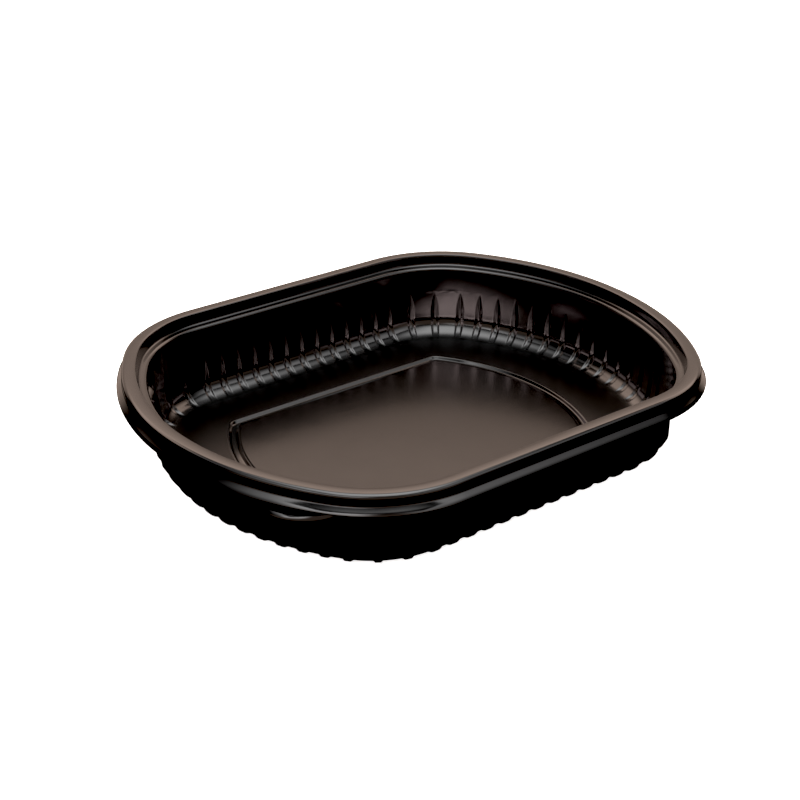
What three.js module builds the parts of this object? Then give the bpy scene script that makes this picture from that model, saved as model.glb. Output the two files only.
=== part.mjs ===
// A black microwave food container: one thin formed sheet, shaped as a shallow tray with straight
// long sides, bowed ends, a hollow rolled rim with a flared lip, a ledge that seats a lid, fluted
// walls and a foot groove round the floor panel. Millimetres, +Z up; it stands on z = 0, centred.
import * as THREE from "three";

// Overall sizes
const LENGTH = 225; // over the lip, along X
const WIDTH = 183; // over the lip, along Y
const HEIGHT = 37; // from the foot groove to the top of the rim
const SHEET = 0.7; // thickness of the formed sheet
const LIP_REACH = 5.7; // from the rim's centre line out to the edge of the lip

// Plan of the rim's centre line: straight sides, bowed ends and rounded corners between them
const RIM = { a: LENGTH / 2 - LIP_REACH, b: WIDTH / 2 - LIP_REACH, end: 112.6, corner: 47 };
// Plan of the foot groove's centre line, whose corners are nearly sharp
const GROOVE = { a: 68.2, b: 49.5, end: 80, corner: 2.6 };

// Rim and lid seat: steps outward from the rim's centre line, and depths below the rim's top
const LIP_DEPTH = 6.7;
const FLARE_DEPTH = 4.4;
const BEAD_OUTER = 3.3;
const BEAD_ROUND = 1.6;
const BEAD_INNER = -2.1;
const SEAT_DEPTH = 4.8;
const SEAT_OUTER = -3.4;
const SEAT_INNER = -5;
const WALL_TOP = -6.2;
const WALL_TOP_DEPTH = 6.3;

// Walls and floor
const DRAFT = THREE.MathUtils.degToRad(5);
const FOOT_RADIUS = 8.5; // inside, where the wall turns into the floor
const GROOVE_DEPTH = 1.1;
const GROOVE_TOP_HALF = 1.8;
const GROOVE_BOTTOM_HALF = 1.0;
const FLOOR_DEPTH = HEIGHT - GROOVE_DEPTH - SHEET;

// Flutes: shallow upright channels round the lower wall, pressed outward, pointed at the top
const FLUTE_LINE = -10.3; // the offset line along which the flutes are spaced
const SIDE_FLUTE_PITCH = 7.9;
const SIDE_FLUTES_EACH_WAY = 6;
const END_FLUTE_PITCH = 8.4;
const END_FLUTES_EACH_WAY = 8;
const CORNER_FLUTES = 2;
const FLUTE_TOP_DEPTH = 16.4;
const FLUTE_REACH = 1;

// Lugs: two lens-shaped bulges pressed out of the wall under the rim, at one end of the tray
const LUG_FROM_END_MIDDLE = 50; // along the wall
const LUG_HALF_LENGTH = 19;
const LUG_REACH = 9.4;
const LUG_TOP_DEPTH = 9.3;
const LUG_SHOULDER_DEPTH = 14.3; // the lug's upper face is a quarter ellipse down to here
const LUG_FOOT_DEPTH = 19.4;

// A plan curve moved outward by a distance, parallel to itself
function grown(plan, by) {
  return { a: plan.a + by, b: plan.b + by, end: plan.end + by, corner: plan.corner + by };
}

// Where the end arc, the corner arc and the straight side of a plan curve meet, in one quarter
function joints(plan) {
  const endCentre = plan.a - plan.end;
  const cornerY = plan.b - plan.corner;
  const cornerX = endCentre + Math.sqrt((plan.end - plan.corner) ** 2 - cornerY ** 2);
  return { endCentre, cornerX, cornerY, turn: Math.atan2(cornerY, cornerX - endCentre) };
}

// Lengths of the three stretches of a quarter, along the line on which the flutes are spaced
const spacing = grown(RIM, FLUTE_LINE);
const spacingJoints = joints(spacing);
const END_RUN = spacing.end * spacingJoints.turn;
const CORNER_RUN = spacing.corner * (Math.PI / 2 - spacingJoints.turn);
const SIDE_RUN = spacingJoints.cornerX;
const QUARTER = END_RUN + CORNER_RUN + SIDE_RUN;
const QUARTER_SIGNS = [[1, 1], [-1, 1], [-1, -1], [1, -1]];

// The point of a plan curve at a distance round the tray, counted from the middle of the +X end
function planPoint(plan, distance) {
  const round = ((distance % (4 * QUARTER)) + 4 * QUARTER) % (4 * QUARTER);
  const quarter = Math.min(3, Math.floor(round / QUARTER));
  const local = round - quarter * QUARTER;
  const along = quarter % 2 === 0 ? local : QUARTER - local;
  const { endCentre, cornerX, cornerY, turn } = joints(plan);
  let x;
  let y;
  if (along < END_RUN) {
    const angle = (along / END_RUN) * turn;
    x = endCentre + plan.end * Math.cos(angle);
    y = plan.end * Math.sin(angle);
  } else if (along < END_RUN + CORNER_RUN) {
    const angle = turn + ((along - END_RUN) / CORNER_RUN) * (Math.PI / 2 - turn);
    x = cornerX + plan.corner * Math.cos(angle);
    y = cornerY + plan.corner * Math.sin(angle);
  } else {
    x = cornerX * ((QUARTER - along) / SIDE_RUN);
    y = plan.b;
  }
  const [signX, signY] = QUARTER_SIGNS[quarter];
  return [signX * x, signY * y];
}

// Distances round the tray of the middles of all the flutes
function flutePlaces() {
  const lastEnd = END_FLUTES_EACH_WAY * END_FLUTE_PITCH;
  const firstSide = QUARTER - SIDE_FLUTES_EACH_WAY * SIDE_FLUTE_PITCH;
  const cornerPitch = (firstSide - lastEnd) / (CORNER_FLUTES + 1);
  const quarter = [];
  for (let k = 1; k <= END_FLUTES_EACH_WAY; k += 1) quarter.push(k * END_FLUTE_PITCH);
  for (let k = 1; k <= CORNER_FLUTES; k += 1) quarter.push(lastEnd + k * cornerPitch);
  for (let k = SIDE_FLUTES_EACH_WAY; k >= 1; k -= 1) quarter.push(QUARTER - k * SIDE_FLUTE_PITCH);
  const half = [0, ...quarter, QUARTER, ...quarter.map((s) => 2 * QUARTER - s).reverse()];
  return [...half, ...half.map((s) => s + 2 * QUARTER)];
}

const FLUTES = flutePlaces();

// How far a lug stands out of the wall at a distance round the tray, as a share of its reach
function lugShare(distance) {
  const fromEndMiddle = Math.abs(distance - 2 * QUARTER);
  const t = (fromEndMiddle - LUG_FROM_END_MIDDLE) / LUG_HALF_LENGTH;
  return Math.max(0, 1 - t * t);
}

// The section from the edge of the lip to the floor. Each station has its step outward from the
// rim's centre line and its depth below the rim's top; flute is the flute's depth there as a
// share of its reach, with the flute's half width, and lug is the lug's share at that depth.
function wallStep(depth) {
  return WALL_TOP - (depth - WALL_TOP_DEPTH) * Math.tan(DRAFT);
}

function section() {
  const rim = [
    [LIP_REACH, LIP_DEPTH],
    [BEAD_OUTER + 0.3, FLARE_DEPTH],
    [BEAD_OUTER, BEAD_ROUND],
    [BEAD_OUTER - BEAD_ROUND * 0.3, BEAD_ROUND * 0.3],
    [BEAD_OUTER - BEAD_ROUND, 0],
    [BEAD_INNER + 0.5, 0],
    [BEAD_INNER, 0.6],
    [SEAT_OUTER + 0.7, SEAT_DEPTH - 0.8],
    [SEAT_OUTER, SEAT_DEPTH],
    [SEAT_INNER, SEAT_DEPTH + 0.1],
    [WALL_TOP, WALL_TOP_DEPTH],
  ].map(([step, depth]) => ({ step, depth }));
  const upperWall = [0, 0.1, 0.4, 1].map((t) => {
    const depth = LUG_TOP_DEPTH + t * (LUG_SHOULDER_DEPTH - LUG_TOP_DEPTH);
    return { step: wallStep(depth), depth, lug: Math.sqrt(1 - (1 - t) ** 2) };
  });
  const flutedWall = [
    [FLUTE_TOP_DEPTH, 0.8, 0, 0.4],
    [LUG_FOOT_DEPTH, 0, 0.3, 1.0],
    [24, 0, 0.7, 1.4],
    [27.5, 0, 0.95, 1.6],
  ].map(([depth, lug, flute, half]) => ({ step: wallStep(depth), depth, lug, flute, half }));
  const wallTilt = Math.PI / 2 - DRAFT;
  const turnDepth = FLOOR_DEPTH - FOOT_RADIUS * (1 - Math.cos(wallTilt));
  const floorStep = wallStep(turnDepth) - FOOT_RADIUS * Math.sin(wallTilt);
  const foot = [[68, 1, 1.7], [44, 0.85, 1.7], [22, 0.4, 1.4], [8, 0, 0.9]].map(([tilt, flute, half]) => {
    const angle = THREE.MathUtils.degToRad(tilt);
    return {
      step: floorStep + FOOT_RADIUS * Math.sin(angle),
      depth: FLOOR_DEPTH - FOOT_RADIUS * (1 - Math.cos(angle)),
      flute,
      half,
    };
  });
  return [...rim, ...upperWall, ...flutedWall, ...foot, { step: floorStep - 1, depth: FLOOR_DEPTH }];
}

// The foot groove's section, as steps outward from its own centre line
function grooveSection() {
  return [
    { step: GROOVE_TOP_HALF, depth: FLOOR_DEPTH },
    { step: GROOVE_BOTTOM_HALF, depth: FLOOR_DEPTH + GROOVE_DEPTH },
    { step: -GROOVE_BOTTOM_HALF, depth: FLOOR_DEPTH + GROOVE_DEPTH },
    { step: -GROOVE_TOP_HALF, depth: FLOOR_DEPTH },
  ];
}

// Adds to each station the direction from the upper face through the sheet to its lower face,
// lengthened at a bend so that the sheet keeps its thickness. Beyond its ends the section runs
// level on a floor, and straight on at the lip.
function withNormals(stations, levelStart) {
  const normalBetween = (p, q) => {
    const run = new THREE.Vector2(q.step - p.step, q.depth - p.depth).normalize();
    return new THREE.Vector2(run.y, -run.x);
  };
  const down = new THREE.Vector2(0, 1);
  return stations.map((station, i) => {
    const next = i + 1 < stations.length ? normalBetween(station, stations[i + 1]) : down;
    const before = i > 0 ? normalBetween(stations[i - 1], station) : levelStart ? down : next;
    const normal = before.clone().add(next).divideScalar(1 + before.dot(next));
    return { ...station, normal };
  });
}

// One ring of points of a face of the sheet; a fluted ring has three points to each flute
function ring(plan, station, through) {
  const points = [];
  const sides = station.half === undefined ? [0] : [-1, 0, 1];
  for (const place of FLUTES) {
    for (const side of sides) {
      const distance = place + side * (station.half ?? 0);
      const pressed = side === 0 ? FLUTE_REACH * (station.flute ?? 0) : 0;
      const bulge = LUG_REACH * (station.lug ?? 0) * lugShare(distance);
      const out = (through + pressed) * station.normal.x + bulge;
      const down = (through + pressed) * station.normal.y;
      const [x, y] = planPoint(grown(plan, station.step + out), distance);
      points.push([x, y, HEIGHT - station.depth - down]);
    }
  }
  return points;
}

// Builds the closed body: the upper face, the lower face and the narrow edge of the lip
function trayGeometry() {
  const vertices = [];
  const faces = [];
  const addRing = (points) => {
    const first = vertices.length;
    vertices.push(...points);
    return points.map((_, i) => first + i);
  };
  const addFace = (flip, i, j, k) => faces.push(flip ? [i, k, j] : [i, j, k]);

  // Fills the band between two rings that have as many points, or three to one
  function bridge(outer, inner, flip) {
    const count = FLUTES.length;
    for (let k = 0; k < count; k += 1) {
      const n = (k + 1) % count;
      if (outer.length === inner.length) {
        const each = outer.length / count;
        for (let m = 0; m < each; m += 1) {
          const i = k * each + m;
          const j = (i + 1) % outer.length;
          addFace(flip, outer[i], outer[j], inner[i]);
          addFace(flip, outer[j], inner[j], inner[i]);
        }
      } else if (outer.length < inner.length) {
        addFace(flip, outer[k], inner[3 * k + 1], inner[3 * k]);
        addFace(flip, outer[k], inner[3 * k + 2], inner[3 * k + 1]);
        addFace(flip, outer[k], outer[n], inner[3 * k + 2]);
        addFace(flip, outer[n], inner[3 * n], inner[3 * k + 2]);
      } else {
        addFace(flip, inner[k], outer[3 * k], outer[3 * k + 1]);
        addFace(flip, inner[k], outer[3 * k + 1], outer[3 * k + 2]);
        addFace(flip, inner[k], outer[3 * k + 2], inner[n]);
        addFace(flip, inner[n], outer[3 * k + 2], outer[3 * n]);
      }
    }
  }

  const wallStations = withNormals(section(), false);
  const grooveStations = withNormals(grooveSection(), true);
  const edges = [0, SHEET].map((through, faceIndex) => {
    const lower = faceIndex === 1;
    const rings = [
      ...wallStations.map((station) => addRing(ring(RIM, station, through))),
      ...grooveStations.map((station) => addRing(ring(GROOVE, station, through))),
    ];
    for (let i = 0; i + 1 < rings.length; i += 1) bridge(rings[i], rings[i + 1], lower);
    const panel = rings[rings.length - 1];
    const [middle] = addRing([[0, 0, HEIGHT - FLOOR_DEPTH - through]]);
    panel.forEach((index, i) => addFace(lower, index, panel[(i + 1) % panel.length], middle));
    return rings[0];
  });
  bridge(edges[1], edges[0], false);

  const geometry = new THREE.BufferGeometry();
  geometry.setAttribute("position", new THREE.Float32BufferAttribute(vertices.flat(), 3));
  geometry.setIndex(faces.flat());
  geometry.computeVertexNormals();
  return geometry;
}

const container = new THREE.Group();
const blackPlastic = new THREE.MeshStandardMaterial({ color: 0x0c0b0b, roughness: 0.28, metalness: 0 });
const tray = new THREE.Mesh(trayGeometry(), blackPlastic);
tray.name = "tray";
container.add(tray);

export default container;
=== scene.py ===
import math

import bpy
from mathutils import Matrix, Vector


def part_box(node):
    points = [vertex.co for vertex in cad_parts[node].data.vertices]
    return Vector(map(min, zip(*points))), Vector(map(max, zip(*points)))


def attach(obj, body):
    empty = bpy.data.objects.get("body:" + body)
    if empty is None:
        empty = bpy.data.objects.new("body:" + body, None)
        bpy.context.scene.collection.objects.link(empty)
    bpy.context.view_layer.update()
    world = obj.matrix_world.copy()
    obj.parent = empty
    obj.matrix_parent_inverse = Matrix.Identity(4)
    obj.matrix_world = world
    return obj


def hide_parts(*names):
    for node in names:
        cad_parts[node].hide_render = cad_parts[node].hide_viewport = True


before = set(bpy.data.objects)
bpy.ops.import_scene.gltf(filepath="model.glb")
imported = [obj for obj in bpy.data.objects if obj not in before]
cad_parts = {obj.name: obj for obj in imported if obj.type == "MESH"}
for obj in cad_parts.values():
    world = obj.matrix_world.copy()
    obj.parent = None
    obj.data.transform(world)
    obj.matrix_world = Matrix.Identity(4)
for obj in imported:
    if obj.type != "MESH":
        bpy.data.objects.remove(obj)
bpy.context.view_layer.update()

MM = 0.001

# Overall sizes, from the frame; every length up to the camera is in millimetres
tray_low, tray_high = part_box("tray")
LENGTH, WIDTH, HEIGHT = (tray_high - tray_low) / MM
SHEET = 0.7  # thickness of the formed sheet
TIGHTEST_ROUNDING = 0.12  # under a bend that is tighter than the sheet is thick
LIP_REACH = 5.7  # from the rim's centre line out to the edge of the lip

# Plan of the rim's centre line and of the foot groove's: (half length, half width, end radius,
# corner radius)
RIM = (LENGTH / 2 - LIP_REACH, WIDTH / 2 - LIP_REACH, 112.6, 47)
GROOVE = (68.2, 49.5, 80, 3.4)

# Rim and lid seat: steps outward from the rim's centre line, and depths below the rim's top
LIP_EDGE = (5.5, 6.5)
LIP_EDGE_PIECES = 4  # of the rounding of the sheet's edge
FLARE_BEND = (3.45, 4.35)
BEAD_OUTER = 3.4
BEAD_ROUND = 1.6
BEAD_INNER = -2.15
BEAD_CROWN = 0.12
SEAT_OUTER = (-2.84, 4.8)
SEAT_INNER = (-6.08, 5.0)

# Walls and floor
DRAFT = math.radians(5)
FOOT_RADIUS = 8.5
GROOVE_DEPTH = 1.1
GROOVE_TOP_HALF = 1.75
GROOVE_BOTTOM_HALF = 1.05
FLOOR_DEPTH = HEIGHT - GROOVE_DEPTH - SHEET

# Flutes: upright channels round the lower wall, pressed outward, pointed at the top
FLUTE_LINE = -10.3  # the offset line along which the flutes are spaced
SIDE_PITCH = 7.9
SIDE_EACH_WAY = 6
END_PITCH = 8.4
END_EACH_WAY = 8
CORNER_FLUTES = 2
FLUTE_TIP_DEPTH = 16.3
FLUTE_FULL_DEPTH = 29.0
FLUTE_HALF = 1.6  # half width at the foot
FLUTE_WIDENING = 0.4  # power with which the width grows down from the tip
FLUTE_SWELL = 0.35  # how much wider the middle is, as a share
FLUTE_REACH = 0.75
FLUTE_DEEPENING = 0.8  # power with which the reach grows down from the tip
FLUTE_WALL_SHARE = 1.5  # of the reach, on the wall, where the channel is V-shaped
FLUTE_FLANK = (0.68, 1.08)  # where the channel starts and ends to fade, in half widths
FLOOR_TILTS = (math.radians(9), math.radians(47))  # the flutes run out between these tilts
WALL_TILTS = (math.radians(60), math.radians(80))  # and turn V-shaped between these

# Lugs: two lens-shaped bulges pressed out of the wall under the rim, at one end of the tray
LUG_FROM_END_MIDDLE = 50
LUG_HALF_LENGTH = 19
LUG_REACH = 9.8
# Depths of a lug's section, and how far it stands out there as a share of its reach
LUG_SECTION = ((9.3, 0), (11, 0.8), (12.8, 1), (15, 1), (19.4, 0))


def smooth(low, high, value):
    """0 below low, 1 above high, and an easy rise between them."""
    t = min(1, max(0, (value - low) / (high - low)))
    return t * t * (3 - 2 * t)


# ---------------------------------------------------------------------------------- plan curves
def grown(plan, by):
    """A plan curve moved outward by a distance, parallel to itself."""
    return tuple(size + by for size in plan)


def joints(plan):
    """Where the end arc, corner arc and straight side of a quarter meet."""
    a, b, end, corner = plan
    end_centre = a - end
    corner_y = b - corner
    corner_x = end_centre + math.sqrt((end - corner) ** 2 - corner_y**2)
    return end_centre, corner_x, corner_y, math.atan2(corner_y, corner_x - end_centre)


spacing = grown(RIM, FLUTE_LINE)
END_RUN = spacing[2] * joints(spacing)[3]
CORNER_RUN = spacing[3] * (math.pi / 2 - joints(spacing)[3])
SIDE_RUN = joints(spacing)[1]
QUARTER = END_RUN + CORNER_RUN + SIDE_RUN
QUARTER_SIGNS = ((1, 1), (-1, 1), (-1, -1), (1, -1))


def plan_point(plan, distance):
    """The point at a distance round the tray, counted from the middle of the +X end."""
    quarter, local = divmod(distance % (4 * QUARTER), QUARTER)
    along = local if quarter % 2 == 0 else QUARTER - local
    end_centre, corner_x, corner_y, turn = joints(plan)
    _, b, end, corner = plan
    if along < END_RUN:
        angle = along / END_RUN * turn
        x, y = end_centre + end * math.cos(angle), end * math.sin(angle)
    elif along < END_RUN + CORNER_RUN:
        angle = turn + (along - END_RUN) / CORNER_RUN * (math.pi / 2 - turn)
        x, y = corner_x + corner * math.cos(angle), corner_y + corner * math.sin(angle)
    else:
        x, y = corner_x * (QUARTER - along) / SIDE_RUN, b
    sign_x, sign_y = QUARTER_SIGNS[int(quarter) % 4]
    return Vector((sign_x * x, sign_y * y))


def flute_places():
    """Distances round the tray of the middles of all the flutes."""
    last_end = END_EACH_WAY * END_PITCH
    first_side = QUARTER - SIDE_EACH_WAY * SIDE_PITCH
    corner_pitch = (first_side - last_end) / (CORNER_FLUTES + 1)
    quarter = [k * END_PITCH for k in range(1, END_EACH_WAY + 1)]
    quarter += [last_end + k * corner_pitch for k in range(1, CORNER_FLUTES + 1)]
    quarter += [QUARTER - k * SIDE_PITCH for k in range(SIDE_EACH_WAY, 0, -1)]
    half = [0, *quarter, QUARTER, *(2 * QUARTER - s for s in reversed(quarter))]
    return half + [s + 2 * QUARTER for s in half]


FLUTES = flute_places()


# ------------------------------------------------------------------------------------- sections
# A section is a list of corners (step, depth, rounding radius, pieces of the rounding, splits of
# the straight run that follows). rounded() turns it into stations (step, depth).
def rounded(corners):
    """The stations of a section: its corners rounded and its straight runs split."""
    stations = []
    points = [Vector(c[:2]) for c in corners]
    for i, (_, _, radius, pieces, splits) in enumerate(corners):
        here = points[i]
        if radius:
            back, ahead = ((points[i + k] - here).normalized() for k in (-1, 1))
            half = back.angle(ahead) / 2
            centre = here + (back + ahead).normalized() * radius / math.sin(half)
            start = here + back * radius / math.tan(half) - centre
            finish = here + ahead * radius / math.tan(half) - centre
            swing = start.angle(finish)
            for k in range(pieces + 1):
                t = k / pieces
                blend = start * math.sin((1 - t) * swing) + finish * math.sin(t * swing)
                stations.append(centre + blend / math.sin(swing))
        else:
            stations.append(here)
        stations.append(splits)
    # the straight runs are split once both of their ends are known
    result = []
    for i, entry in enumerate(stations):
        if isinstance(entry, Vector):
            result.append(entry)
        elif i + 1 < len(stations):
            start, finish = stations[i - 1], stations[i + 1]
            result += [start.lerp(finish, k / (entry + 1)) for k in range(1, entry + 1)]
    return result


def under_face(corners):
    """The corners of the sheet's lower face, which keeps its distance from the upper face."""
    points = [Vector(c[:2]) for c in corners]
    runs = [(q - p).normalized() for p, q in zip(points, points[1:])]
    through = [Vector((run.y, -run.x)) for run in runs]
    result = []
    for i, (_, _, radius, pieces, splits) in enumerate(corners):
        before = through[max(0, i - 1)]
        after = through[min(len(runs) - 1, i)]
        mitre = (before + after) / (1 + before.dot(after))
        moved = points[i] + mitre * SHEET
        if radius:
            bends_under = (runs[i] - runs[i - 1]).dot(mitre) > 0
            radius = max(TIGHTEST_ROUNDING, radius - SHEET) if bends_under else radius + SHEET
        result.append((moved.x, moved.y, radius, pieces, splits))
    return result


def wall_step(depth):
    """How far out the wall's upper face is at a depth."""
    return SEAT_INNER[0] - (depth - SEAT_INNER[1]) * math.tan(DRAFT)


rim_corners = [
    (*LIP_EDGE, 0, 0, 1),
    (*FLARE_BEND, 0.9, 4, 1),
    (BEAD_OUTER, BEAD_CROWN, BEAD_ROUND, 10, 1),
    (0, 0, 0, 0, 1),
    (BEAD_INNER, BEAD_CROWN / 2, 0.5, 5, 2),
    (*SEAT_OUTER, 0.8, 5, 2),
    (*SEAT_INNER, 1.3, 6, 29),
    (wall_step(FLOOR_DEPTH), FLOOR_DEPTH, FOOT_RADIUS, 15, 0),
    (wall_step(FLOOR_DEPTH) - FOOT_RADIUS - 1, FLOOR_DEPTH, 0, 0, 0),
]
groove_corners = [
    (GROOVE_TOP_HALF + 1, FLOOR_DEPTH, 0, 0, 0),
    (GROOVE_TOP_HALF, FLOOR_DEPTH, 0.4, 4, 0),
    (GROOVE_BOTTOM_HALF, FLOOR_DEPTH + GROOVE_DEPTH, 0.4, 4, 0),
    (-GROOVE_BOTTOM_HALF, FLOOR_DEPTH + GROOVE_DEPTH, 0.4, 4, 0),
    (-GROOVE_TOP_HALF, FLOOR_DEPTH, 0.4, 4, 0),
    (-GROOVE_TOP_HALF - 1, FLOOR_DEPTH, 0, 0, 0),
]


# ------------------------------------------------------------------------------- tray sheet mesh
FLUTE_COLUMNS = (-1.2, -1.08, -0.88, -0.68, -0.34, 0, 0.34, 0.68, 0.88, 1.08, 1.2)  # half widths
PLAIN_COLUMNS = (-0.375, -0.125, 0.125, 0.375)  # in pitches
LEAST_HALF = 0.9  # the columns come no closer than on a flute of this half width
LEAST_GROWTH = 0.02  # share of the way down from the tip, under which a flute gets no narrower
FIRST_FLUTED = 0.5  # how far above the flutes' tips their columns begin
PANEL_MARGIN = 0.5  # from the groove's edge to the finish of the floor beside it
APRON_FADE = (1.2, 0.1)  # heights above the floor between which its duller finish fades in


def flute_growth(depth):
    """0 at a flute's tip and 1 where it has its full size."""
    return (depth - FLUTE_TIP_DEPTH) / (FLUTE_FULL_DEPTH - FLUTE_TIP_DEPTH)


def flute_half(depth):
    """Half width of a flute at a depth: nothing at the tip, then swelling like a leaf."""
    t = min(1, max(LEAST_GROWTH, flute_growth(depth)))
    return FLUTE_HALF * t**FLUTE_WIDENING * (1 + FLUTE_SWELL * math.sin(math.pi * t))


def flute_share(depth, tilt):
    """How deep a flute is at a station, as a share of its reach."""
    t = min(1, max(0, flute_growth(depth)))
    return t**FLUTE_DEEPENING * smooth(*FLOOR_TILTS, tilt)


def lug_bulge(distance, depth):
    """How far a lug stands out of the wall."""
    from_middle = abs(distance % (4 * QUARTER) - 2 * QUARTER)
    t = (from_middle - LUG_FROM_END_MIDDLE) / LUG_HALF_LENGTH
    along = 0
    for (upper, start), (lower, finish) in zip(LUG_SECTION, LUG_SECTION[1:]):
        if upper <= depth <= lower:
            along = start + (finish - start) * (depth - upper) / (lower - upper)
    return LUG_REACH * max(0, 1 - t * t) * along


def columns(fluted, depth):
    """(distance round the tray, place across the nearest flute in half widths), all the way."""
    half = flute_half(depth)
    spread = max(half, LEAST_HALF)
    result = []
    for i, place in enumerate(FLUTES):
        after = FLUTES[(i + 1) % len(FLUTES)]
        if after < place:
            after += 4 * QUARTER
        before = FLUTES[i - 1] if i else FLUTES[-1] - 4 * QUARTER
        if fluted:
            result += [(place + t * spread, t * spread / half) for t in FLUTE_COLUMNS]
            result.append(((place + after) / 2, (after - place) / 2 / half))
        else:
            for t in PLAIN_COLUMNS:
                gap = after - place if t > 0 else place - before
                result.append((place + t * gap, 0))
    return result


class SheetMesh:
    """Collects rings of points and the faces between them, with what the flutes need to know."""

    def __init__(self):
        self.points = []
        self.faces = []
        self.across = []
        self.share = []
        self.press = []
        self.panel = []
        self.apron = []

    def add(self, point, across=0, share=0, press=(0, 0, 0), panel=0, apron=0):
        self.points.append(point)
        self.across.append(across)
        self.share.append(share)
        self.press.append(press)
        self.panel.append(panel)
        self.apron.append(apron)
        return len(self.points) - 1

    def ring(self, plan, station, upper, tilt, fluted):
        """One ring of a face of the sheet; upper is the station of the upper face there."""
        share = flute_share(upper.y, tilt) if fluted else 0
        panel = plan is GROOVE and upper.x < -GROOVE_TOP_HALF - PANEL_MARGIN
        if plan is GROOVE:
            apron = upper.x > GROOVE_TOP_HALF + PANEL_MARGIN
        else:
            apron = smooth(*(FLOOR_DEPTH - height for height in APRON_FADE), upper.y)
        indices = []
        for distance, across in columns(fluted, upper.y):
            bulge = lug_bulge(distance, upper.y) if plan is RIM else 0
            place = plan_point(grown(plan, station.x + bulge), distance)
            outward = (plan_point(grown(plan, 1), distance) - plan_point(plan, distance)).normalized()
            sideways = math.sin(tilt)
            press = (outward.x * sideways, outward.y * sideways, -math.cos(tilt))
            point = (place.x * MM, place.y * MM, (HEIGHT - station.y) * MM)
            on_wall = smooth(*WALL_TILTS, tilt)
            keel = FLUTE_WALL_SHARE * max(0, 1 - abs(across))
            shaped = share * (1 - on_wall + on_wall * keel)
            indices.append(self.add(point, across, shaped, press, panel, apron))
        return indices

    def bridge(self, outer, inner, flip):
        """Faces between two rings with as many points, or with three to one."""
        wide, narrow = (outer, inner) if len(outer) <= len(inner) else (inner, outer)
        turned = flip != (wide is inner)
        each = len(narrow) // len(wide)
        for i, here in enumerate(wide):
            after = wide[(i + 1) % len(wide)]
            fan = narrow[i * each : (i + 1) * each]
            following = narrow[(i + 1) * each % len(narrow)]
            loops = [(here, q, p) for p, q in zip(fan, fan[1:])]
            loops.append((here, after, following, fan[-1]))
            self.faces += [loop[::-1] if turned else loop for loop in loops]


def tilts(stations):
    """How steep the section is at each station, from 0 on a floor to a quarter turn on a wall."""
    result = []
    for i in range(len(stations)):
        before, after = stations[max(0, i - 1)], stations[min(len(stations) - 1, i + 1)]
        result.append(math.atan2(abs(after.y - before.y), abs(after.x - before.x)))
    return result


def tray_sheet():
    """The whole sheet before its flutes are pressed: upper face, lower face and the lip's edge."""
    sheet = SheetMesh()
    upper_rim, upper_groove = rounded(rim_corners), rounded(groove_corners)
    faces = (
        (upper_rim, upper_groove, False),
        (rounded(under_face(rim_corners)), rounded(under_face(groove_corners)), True),
    )
    rim_tilts = tilts(upper_rim)
    fluted_depth = FLUTE_TIP_DEPTH - FIRST_FLUTED
    first_fluted = next(i for i, s in enumerate(upper_rim) if s.y > fluted_depth)
    edges = []
    for rim, groove, lower in faces:
        rings = []
        for i, station in enumerate(rim):
            fluted = first_fluted <= i < len(rim) - 1
            rings.append(sheet.ring(RIM, station, upper_rim[i], rim_tilts[i], fluted))
        for i, station in enumerate(groove):
            rings.append(sheet.ring(GROOVE, station, upper_groove[i], 0, False))
        for outer, inner in zip(rings, rings[1:]):
            sheet.bridge(outer, inner, lower)
        middle = sheet.add((0, 0, (HEIGHT - groove[-1].y) * MM), panel=1)
        panel = rings[-1]
        for p, q in zip(panel, panel[1:] + panel[:1]):
            sheet.faces.append((q, p, middle) if lower else (p, q, middle))
        edges.append(rings[0])
    # the edge of the lip is rounded over, from the upper face to the lower
    top, bottom = (stations[0] for stations, _, _ in faces)
    centre, spoke = (top + bottom) / 2, (top - bottom) / 2
    outward = Vector((-spoke.y, spoke.x))
    edge_rings = [edges[0]]
    for k in range(1, LIP_EDGE_PIECES):
        angle = math.pi * k / LIP_EDGE_PIECES
        station = centre + spoke * math.cos(angle) + outward * math.sin(angle)
        edge_rings.append(sheet.ring(RIM, station, station, 0, False))
    edge_rings.append(edges[1])
    for outer, inner in zip(edge_rings, edge_rings[1:]):
        sheet.bridge(outer, inner, True)
    return sheet


def mesh_from(sheet, name):
    """A Blender mesh with what the flutes and the finish need to know as attributes."""
    mesh = bpy.data.meshes.new(name)
    mesh.from_pydata(sheet.points, [], sheet.faces)
    for attribute, values, kind, field in (
        ("flute_across", sheet.across, "FLOAT", "value"),
        ("flute_share", sheet.share, "FLOAT", "value"),
        ("panel", sheet.panel, "FLOAT", "value"),
        ("apron", sheet.apron, "FLOAT", "value"),
        ("press", [c for v in sheet.press for c in v], "FLOAT_VECTOR", "vector"),
    ):
        mesh.attributes.new(attribute, kind, "POINT").data.foreach_set(field, values)
    mesh.update()
    return mesh


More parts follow.
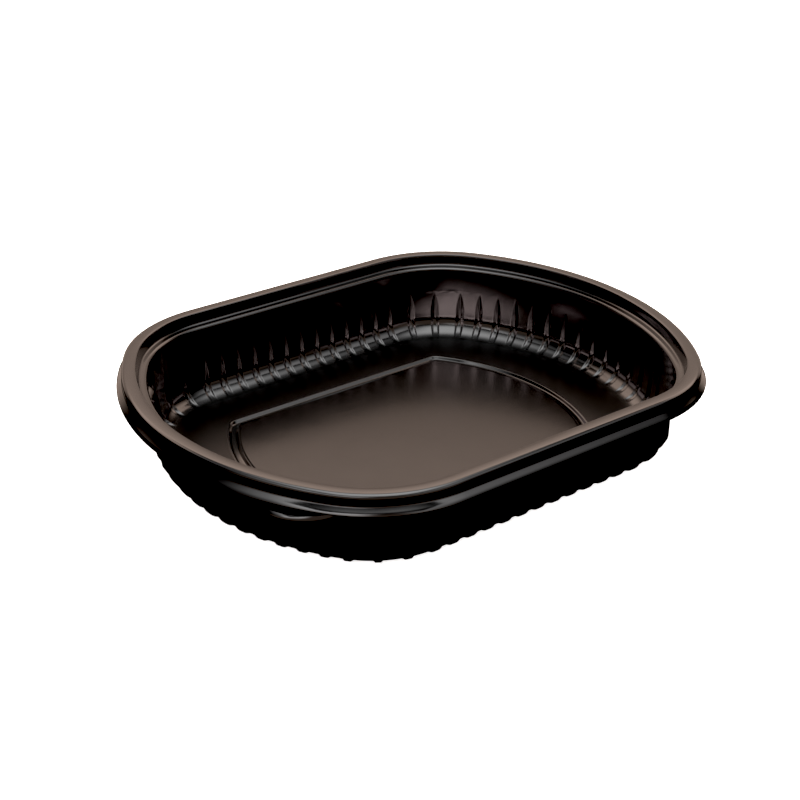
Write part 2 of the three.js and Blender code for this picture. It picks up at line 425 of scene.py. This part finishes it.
# ------------------------------------------------------------------------------------ node trees
class Graph:
    """Adds nodes to a node tree. What goes into a node is a plain value or another's output."""

    def __init__(self, tree):
        self.tree = tree

    def feed(self, socket, value):
        if isinstance(value, bpy.types.NodeSocket):
            self.tree.links.new(value, socket)
        else:
            socket.default_value = value

    def add(self, kind, inputs=None, **settings):
        made = self.tree.nodes.new(kind)
        for name, value in settings.items():
            setattr(made, name, value)
        for socket, value in (inputs or {}).items():
            self.feed(made.inputs[socket], value)
        return made

    def maths(self, operation, first, second=0):
        made = self.add("ShaderNodeMath", {0: first, 1: second}, operation=operation)
        return made.outputs[0]

    def dot(self, first, second):
        made = self.add("ShaderNodeVectorMath", {0: first, 1: second}, operation="DOT_PRODUCT")
        return made.outputs["Value"]

    def scaled(self, vector, factor):
        inputs = {0: vector, "Scale": factor}
        return self.add("ShaderNodeVectorMath", inputs, operation="SCALE").outputs["Vector"]

    def between(self, value, low, high, to_low, to_high, kind="LINEAR"):
        """The value's place from low to high, carried over to the other pair."""
        inputs = {"Value": value, "From Min": low, "From Max": high}
        inputs.update({"To Min": to_low, "To Max": to_high})
        return self.add("ShaderNodeMapRange", inputs, interpolation_type=kind).outputs["Result"]


def material_graph(name):
    """A new material and the graph of its nodes."""
    material = bpy.data.materials.new(name)
    material.use_nodes = True
    return material, Graph(material.node_tree)


# ------------------------------------------------------------------------ geometry nodes: flutes
def flute_tree():
    """Presses the flutes into the sheet: each point moves along its press direction by the
    flute's depth there, which falls from the full reach to nothing across the flute's flank."""
    tree = bpy.data.node_groups.new("press_flutes", "GeometryNodeTree")
    face = tree.interface
    face.new_socket("Geometry", in_out="INPUT", socket_type="NodeSocketGeometry")
    sizes = zip(("Reach", "Flank Start", "Flank End"), (FLUTE_REACH * MM, *FLUTE_FLANK))
    for name, value in sizes:
        socket = face.new_socket(name, in_out="INPUT", socket_type="NodeSocketFloat")
        socket.default_value = value
    face.new_socket("Material", in_out="INPUT", socket_type="NodeSocketMaterial")
    face.new_socket("Geometry", in_out="OUTPUT", socket_type="NodeSocketGeometry")
    graph = Graph(tree)

    def attribute(name, kind):
        made = graph.add("GeometryNodeInputNamedAttribute", {"Name": name}, data_type=kind)
        return made.outputs["Attribute"]

    given = graph.add("NodeGroupInput").outputs
    distance = graph.maths("ABSOLUTE", attribute("flute_across", "FLOAT"))
    flank = (given["Flank Start"], given["Flank End"], 1, 0)
    depth = graph.between(distance, *flank, kind="SMOOTHSTEP")
    share = graph.maths("MULTIPLY", depth, attribute("flute_share", "FLOAT"))
    reach = graph.maths("MULTIPLY", share, given["Reach"])
    offset = graph.scaled(attribute("press", "FLOAT_VECTOR"), reach)
    move = graph.add("GeometryNodeSetPosition", {"Geometry": given["Geometry"], "Offset": offset})
    realize = graph.add("GeometryNodeRealizeInstances", {"Geometry": move.outputs["Geometry"]})
    inputs = {"Geometry": realize.outputs["Geometry"], "Material": given["Material"]}
    paint = graph.add("GeometryNodeSetMaterial", inputs)
    graph.add("NodeGroupOutput", {"Geometry": paint.outputs["Geometry"]})
    return tree


def made_by_tree(obj, tree, inputs):
    """Runs a tree on an object and keeps the result as its plain mesh."""
    modifier = obj.modifiers.new(tree.name, "NODES")
    modifier.node_group = tree
    for item in tree.interface.items_tree:
        if item.in_out == "INPUT" and item.name in inputs:
            modifier[item.identifier] = inputs[item.name]
    bpy.context.view_layer.update()
    evaluated = obj.evaluated_get(bpy.context.evaluated_depsgraph_get())
    result = bpy.data.meshes.new_from_object(evaluated)
    obj.modifiers.clear()
    obj.data = result
    for name in ("flute_across", "flute_share", "press"):
        result.attributes.remove(result.attributes[name])
    result.polygons.foreach_set("use_smooth", [True] * len(result.polygons))
    result.name = obj.name
    return obj


# ------------------------------------------------------------------------------------- materials
# Roughness and specular level of the formed sheet, the floor panel and the floor round it
GLOSSY, SHINE = 0.12, 0.5
PANEL_SATIN, PANEL_SHINE = 0.22, 0.26
APRON_MATT, APRON_SHINE = 0.33, 0.18
PLASTIC_IOR = 1.49
# Patterns of the finish: wavelength (millimetres) and detail of the noise, the levels of the
# noise between which the pattern comes in, and what it changes
CLOUDS, CLOUD_LEVELS, CLOUD_ROUGHNESS = (14, 2), (0.3, 0.7), (-0.015, 0.02)
RUBBING, RUB_LEVELS, RUB_ROUGHNESS = (3, 3, (0.12, 1, 1)), (0.62, 0.74), (0, 0.03)
CARBON, CARBON_LEVELS = (5, 3), (0.35, 0.7)
DARKEST, PALEST = (0.0002, 0.0002, 0.0002, 1), (0.0006, 0.0005, 0.0005, 1)
WAVES, WAVE_HEIGHT = (26, 1), 0.03
GRAIN, GRAIN_HEIGHT = (0.55, 2), 0.012
CROWN_HEIGHT = 2.5  # how far the panel's middle stands above its ends, in the shading alone


def black_plastic():
    """Glossy black formed sheet: faintly wavy, with a satin floor panel of fine press grain inside
    the foot groove, a duller floor round it, and light rubbing that shows only as a change of
    gloss."""
    material, graph = material_graph("black_plastic")
    shader = graph.tree.nodes["Principled BSDF"]
    shader.inputs["IOR"].default_value = PLASTIC_IOR
    place = graph.add("ShaderNodeTexCoord").outputs["Object"]
    maths, between = graph.maths, graph.between

    def noise(wavelength, detail, stretch=(1, 1, 1)):
        """Soft noise whose lumps are as long as the wavelength, in millimetres."""
        scale = [s / (wavelength * MM) for s in stretch]
        lumps = graph.add("ShaderNodeMapping", {"Vector": place, "Scale": scale}).outputs["Vector"]
        inputs = {"Vector": lumps, "Scale": 1, "Detail": detail}
        return graph.add("ShaderNodeTexNoise", inputs).outputs["Fac"]

    def own(name):
        return graph.add("ShaderNodeAttribute", attribute_name=name).outputs["Fac"]

    panel, apron = own("panel"), own("apron")
    # gloss: the floor is duller, cloudy patches and rubbed streaks change it slightly
    cloud = between(noise(*CLOUDS), *CLOUD_LEVELS, *CLOUD_ROUGHNESS)
    rub = between(noise(*RUBBING), *RUB_LEVELS, *RUB_ROUGHNESS)
    finish = maths("ADD", between(panel, 0, 1, GLOSSY, PANEL_SATIN), maths("ADD", cloud, rub))
    finish = maths("ADD", finish, between(apron, 0, 1, 0, APRON_MATT - GLOSSY))
    graph.feed(shader.inputs["Roughness"], finish)
    shine = between(panel, 0, 1, SHINE, PANEL_SHINE)
    shine = maths("ADD", shine, between(apron, 0, 1, 0, APRON_SHINE - SHINE))
    graph.feed(shader.inputs["Specular IOR Level"], shine)
    # relief: the panel's crown, long low waves from the forming, and the panel's grain
    crown = maths("MULTIPLY", graph.dot(place, place), -CROWN_HEIGHT * MM / (GROOVE[0] * MM) ** 2)
    crown = maths("MULTIPLY", crown, panel)
    waves = maths("MULTIPLY", noise(*WAVES), WAVE_HEIGHT * MM)
    grain = maths("MULTIPLY", maths("MULTIPLY", noise(*GRAIN), panel), GRAIN_HEIGHT * MM)
    height = maths("ADD", crown, maths("ADD", waves, grain))
    relief = graph.add("ShaderNodeBump", {"Distance": 1, "Height": height})
    graph.feed(shader.inputs["Normal"], relief.outputs["Normal"])
    # colour: near black, a little paler where carbon black is thinner
    thinner = between(noise(*CARBON), *CARBON_LEVELS, 0, 1)
    colours = {"Factor": thinner, 6: DARKEST, 7: PALEST}  # a Mix node's two colour inputs
    shade = graph.add("ShaderNodeMix", colours, data_type="RGBA")
    graph.feed(shader.inputs["Base Color"], shade.outputs[2])
    return material


# ------------------------------------------------------------------------------------ the object
def link_new(name, data):
    """A new object in the scene."""
    obj = bpy.data.objects.new(name, data)
    bpy.context.scene.collection.objects.link(obj)
    return obj


tray = link_new("tray_sheet", mesh_from(tray_sheet(), "tray_sheet"))
flute_inputs = {"Reach": FLUTE_REACH * MM, "Material": black_plastic()}
made_by_tree(tray, flute_tree(), flute_inputs)
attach(tray, "root")
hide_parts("tray")

# ---------------------------------------------------------------------------------------- camera
# The view is set on the middle of the rim's top plane, in units of the rim's half length
VIEW_AZIMUTH = math.radians(-37.18)
VIEW_ELEVATION = math.radians(26.70)
VIEW_DISTANCE = 5.5344 * RIM[0] * MM
VIEW_RIGHT_SHIFT = 0.04006 * RIM[0] * MM
VIEW_UP_SHIFT = 0.17207 * RIM[0] * MM
VIEW_FOCAL_PIXELS = 1528.3
PICTURE_PIXELS = 800
SENSOR_WIDTH = 36

toward_camera = Vector(
    (
        math.sin(VIEW_AZIMUTH) * math.cos(VIEW_ELEVATION),
        -math.cos(VIEW_AZIMUTH) * math.cos(VIEW_ELEVATION),
        math.sin(VIEW_ELEVATION),
    )
)
view_right = Vector((math.cos(VIEW_AZIMUTH), math.sin(VIEW_AZIMUTH), 0))
view_up = toward_camera.cross(view_right)
camera_data = bpy.data.cameras.new("camera")
camera_data.sensor_width = SENSOR_WIDTH
camera_data.lens = VIEW_FOCAL_PIXELS / PICTURE_PIXELS * SENSOR_WIDTH
camera = link_new("camera", camera_data)
turn = Matrix((view_right, view_up, toward_camera)).transposed().to_4x4()
place = (
    Vector((0, 0, HEIGHT * MM))
    + toward_camera * VIEW_DISTANCE
    - view_right * VIEW_RIGHT_SHIFT
    - view_up * VIEW_UP_SHIFT
)
camera.matrix_world = Matrix.Translation(place) @ turn
bpy.context.scene.camera = camera

# ---------------------------------------------------------------------------------------- studio
# Directions are seen from the tray: "beyond" is away from the camera, level. Lengths are in metres
beyond = Vector((-toward_camera.x, -toward_camera.y, 0)).normalized()


FLOOR_HALF = 6  # metres
FLOOR_COLOUR = (0.85, 0.85, 0.85, 1)
FLOOR_ROUGHNESS = 0.9
FLOOR_GLOW = 0.9  # lights the tray's shadow up to the tone of the bare floor
WHITE = (1, 1, 1, 1)
CARD_CORNERS = ((-1, -1), (1, -1), (1, 1), (-1, 1))


def card(name, half_width, half_length, loop, material):
    """A flat rectangle that is part of the studio."""
    mesh = bpy.data.meshes.new(name)
    points = [(x * half_width, y * half_length, 0) for x, y in CARD_CORNERS]
    mesh.from_pydata(points, [], [loop])
    mesh.materials.append(material)
    return link_new(name, mesh)


def floor():
    """Plain pale floor that the tray doesn't reflect."""
    material, graph = material_graph("pale_floor")
    shader = graph.tree.nodes["Principled BSDF"]
    for name, value in (
        ("Base Color", FLOOR_COLOUR),
        ("Roughness", FLOOR_ROUGHNESS),
        ("Emission Color", WHITE),
        ("Emission Strength", FLOOR_GLOW),
        ("Specular IOR Level", 0),
    ):
        shader.inputs[name].default_value = value
    obj = card("floor", FLOOR_HALF, FLOOR_HALF, (0, 1, 2, 3), material)
    obj.visible_glossy = False


def compass(azimuth, elevation):
    """A direction: azimuth turns clockwise from straight beyond, elevation may pass overhead."""
    level = beyond * math.cos(azimuth) + view_right * math.sin(azimuth)
    return level * math.cos(elevation) + Vector((0, 0, math.sin(elevation)))


WARM = (1, 0.77, 0.65)
NEUTRAL = (1, 0.985, 0.99)
# Soft lights of the studio: azimuth, elevation, half width, half height, width of the soft edge
# (degrees), colour, strength
LIGHTS = (
    (0, 46, 45, 8, 18, WARM, 3.6),  # glow beyond the tray
    (0, 6, 40, 14, 12, WARM, 1.0),  # pale surroundings beyond
    (0, 90, 40, 22, 18, NEUTRAL, 1.2),  # dim ceiling
    (-151, 54, 9, 11, 18, NEUTRAL, 6.5),  # front left
    (-126, 50, 6, 9, 20, NEUTRAL, 1.8),  # and its fall-off
    (120, 52, 12, 12, 20, NEUTRAL, 2.4),  # front right
    (180, 15, 60, 16, 22, WARM, 0.8),  # low front
)
# Light from low in front that shows only where the tray reflects it twice
INNER_LIGHT = (-172, 16, 42, 4, 10, (1, 0.8, 0.79), 30)
TWICE_REFLECTED = 2.5  # ray depths above this
SOFTBOX_HEIGHT = 0.5
SOFTBOX_MIDDLE = -0.085  # beyond the tray's middle
SOFTBOX_SIZE = (0.82, 0.92)  # across and along the view
SOFTBOX_STRENGTH = 6.5
SOFTBOX_EDGE = 0.78  # soft edge, as a share of the half size
BLACK_LEVEL = 0.01  # darkest tone of the picture that still shows


def softbox():
    """A soft-edged light hung close over the tray: the rim's near lip lies outside its reach."""
    width, length = (size / 2 for size in SOFTBOX_SIZE)
    material, graph = material_graph("softbox_glow")
    graph.tree.nodes.clear()
    sides = graph.add("ShaderNodeSeparateXYZ")
    graph.feed(sides.inputs[0], graph.add("ShaderNodeTexCoord").outputs["Object"])

    def fade(axis, half, full):
        """The full value near the middle, easing to 0 at the card's edge."""
        off_middle = graph.maths("ABSOLUTE", sides.outputs[axis])
        start = half * (1 - SOFTBOX_EDGE)
        return graph.between(off_middle, start, half, full, 0, kind="SMOOTHSTEP")

    strength = graph.maths(
        "MULTIPLY", fade("X", width, SOFTBOX_STRENGTH), fade("Y", length, 1)
    )
    glow = graph.add("ShaderNodeEmission", {"Strength": strength})
    graph.add("ShaderNodeOutputMaterial", {"Surface": glow.outputs[0]})
    obj = card("softbox", width, length, (3, 2, 1, 0), material)
    obj.matrix_world = Matrix((view_right, beyond, Vector((0, 0, 1)))).transposed().to_4x4()
    obj.matrix_world.translation = beyond * SOFTBOX_MIDDLE + Vector((0, 0, SOFTBOX_HEIGHT))
    obj.visible_camera = False


def studio_world():
    """Pale behind everything that the camera sees; for light and reflections, a dark room with
    soft lights, each a soft-edged patch of the surroundings."""
    world = bpy.data.worlds.new("studio")
    bpy.context.scene.world = world
    world.use_nodes = True
    graph = Graph(world.node_tree)
    graph.tree.nodes.clear()
    ray = graph.add("ShaderNodeTexCoord").outputs["Generated"]
    seen = graph.add("ShaderNodeLightPath").outputs

    def inside(along, aside, half, edge):
        """1 where the angle off the light's middle is under half, easing to 0 past its edge."""
        angle = graph.maths("ABSOLUTE", graph.maths("ARCTAN2", aside, along))
        half, edge = math.radians(half), math.radians(edge)
        return graph.between(angle, half, half + edge, 1, 0, kind="SMOOTHSTEP")

    total = None
    for light in (*LIGHTS, INNER_LIGHT):
        azimuth, elevation, half_width, half_height, edge, colour, strength = light
        azimuth, elevation = math.radians(azimuth), math.radians(elevation)
        middle = compass(azimuth, elevation)
        upward = compass(azimuth, elevation + math.pi / 2)
        along = graph.dot(ray, middle)
        width = inside(along, graph.dot(ray, middle.cross(upward)), half_width, edge)
        height = inside(along, graph.dot(ray, upward), half_height, edge)
        shape = graph.maths("MULTIPLY", width, height)
        if light is INNER_LIGHT:
            twice = graph.maths("GREATER_THAN", seen["Ray Depth"], TWICE_REFLECTED)
            shape = graph.maths("MULTIPLY", shape, twice)
        glow = graph.scaled([strength * c for c in colour], shape)
        if total is None:
            total = glow
        else:
            total = graph.add("ShaderNodeVectorMath", {0: total, 1: glow}).outputs["Vector"]

    lit = graph.add("ShaderNodeBackground", {"Color": total})
    pale = graph.add("ShaderNodeBackground", {"Color": WHITE})
    shaders = {"Fac": seen["Is Camera Ray"], 1: lit.outputs[0], 2: pale.outputs[0]}
    mix = graph.add("ShaderNodeMixShader", shaders)
    graph.add("ShaderNodeOutputWorld", {"Surface": mix.outputs[0]})


floor()
softbox()
studio_world()

picture = bpy.context.scene.view_settings
picture.view_transform = "Standard"
picture.use_curve_mapping = True
picture.curve_mapping.black_level = [BLACK_LEVEL] * 3
